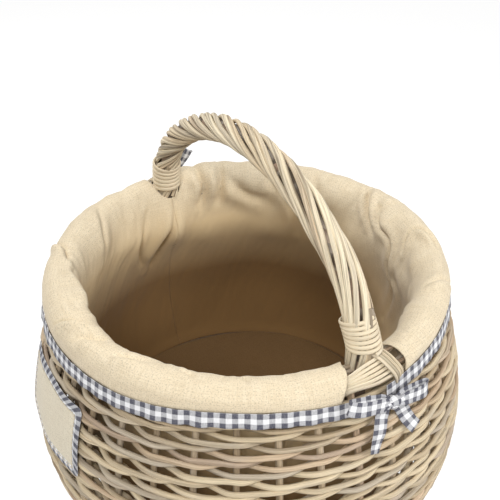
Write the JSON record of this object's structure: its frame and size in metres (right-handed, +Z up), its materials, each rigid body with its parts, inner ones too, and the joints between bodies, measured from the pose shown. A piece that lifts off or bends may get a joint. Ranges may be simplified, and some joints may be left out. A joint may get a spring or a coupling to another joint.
{
  "type": "wicker picnic basket",
  "caption": "Round open wicker basket with a roped arch handle, cane whipping and lashing, and a folded-over cloth liner tied with checked ribbon.",
  "frame": {"origin": "centre of the foot on the floor", "axes": "+Z up; X along the span of the handle; -Y is the front with the label"},
  "size_m": [0.4182, 0.4198, 0.3722],
  "materials": {
    "buff_willow": "satin",
    "grey_willow": "satin, weathered",
    "roped_willow": "satin, weathered",
    "split_willow": "planed, satin",
    "pale_cane": "satin",
    "linen": "matt, slubbed plain weave",
    "gingham": "matt, grey and white check",
    "label_cloth": "matt, coarse plain weave"
  },
  "bodies": {
    "root": {"foot_hoop": "split_willow", "base_sticks_long": "buff_willow", "base_sticks_cross": "buff_willow", "base_weave_lower": "grey_willow", "base_weave_upper": "grey_willow", "upsett_wale": "grey_willow", "stakes": "buff_willow", "weave_lower": "grey_willow", "weave_middle": "grey_willow", "weave_upper": "grey_willow", "top_wale": "grey_willow", "border_outer_rod": "buff_willow", "border_inner_rod": "buff_willow", "border_top_rod": "buff_willow", "handle_bow": "buff_willow", "roping_rod_01": "roped_willow", "roping_rod_02": "roped_willow", "roping_rod_03": "roped_willow", "roping_rod_04": "roped_willow", "roping_rod_05": "roped_willow", "roping_rod_06": "roped_willow", "roping_rod_07": "roped_willow", "roping_rod_08": "roped_willow", "roping_rod_09": "roped_willow", "roping_rod_10": "roped_willow", "roping_rod_11": "roped_willow", "roping_rod_12": "roped_willow", "whipping_left": "pale_cane", "whipping_right": "pale_cane", "lashing_right_a": "pale_cane", "lashing_right_b": "pale_cane", "lashing_left_a": "pale_cane", "lashing_left_b": "pale_cane", "liner_rear_panel": "linen", "liner_front_panel": "linen", "liner_base_panel": "linen", "hem_ribbon_rear": "gingham", "hem_ribbon_front": "gingham", "bow_right_knot": "gingham", "bow_right_loops": "gingham", "bow_right_tails": "gingham", "bow_left_knot": "gingham", "bow_left_loops": "gingham", "bow_left_tails": "gingham", "label_binding": "gingham", "label_patch": "label_cloth"}
  },
  "joints": []
}
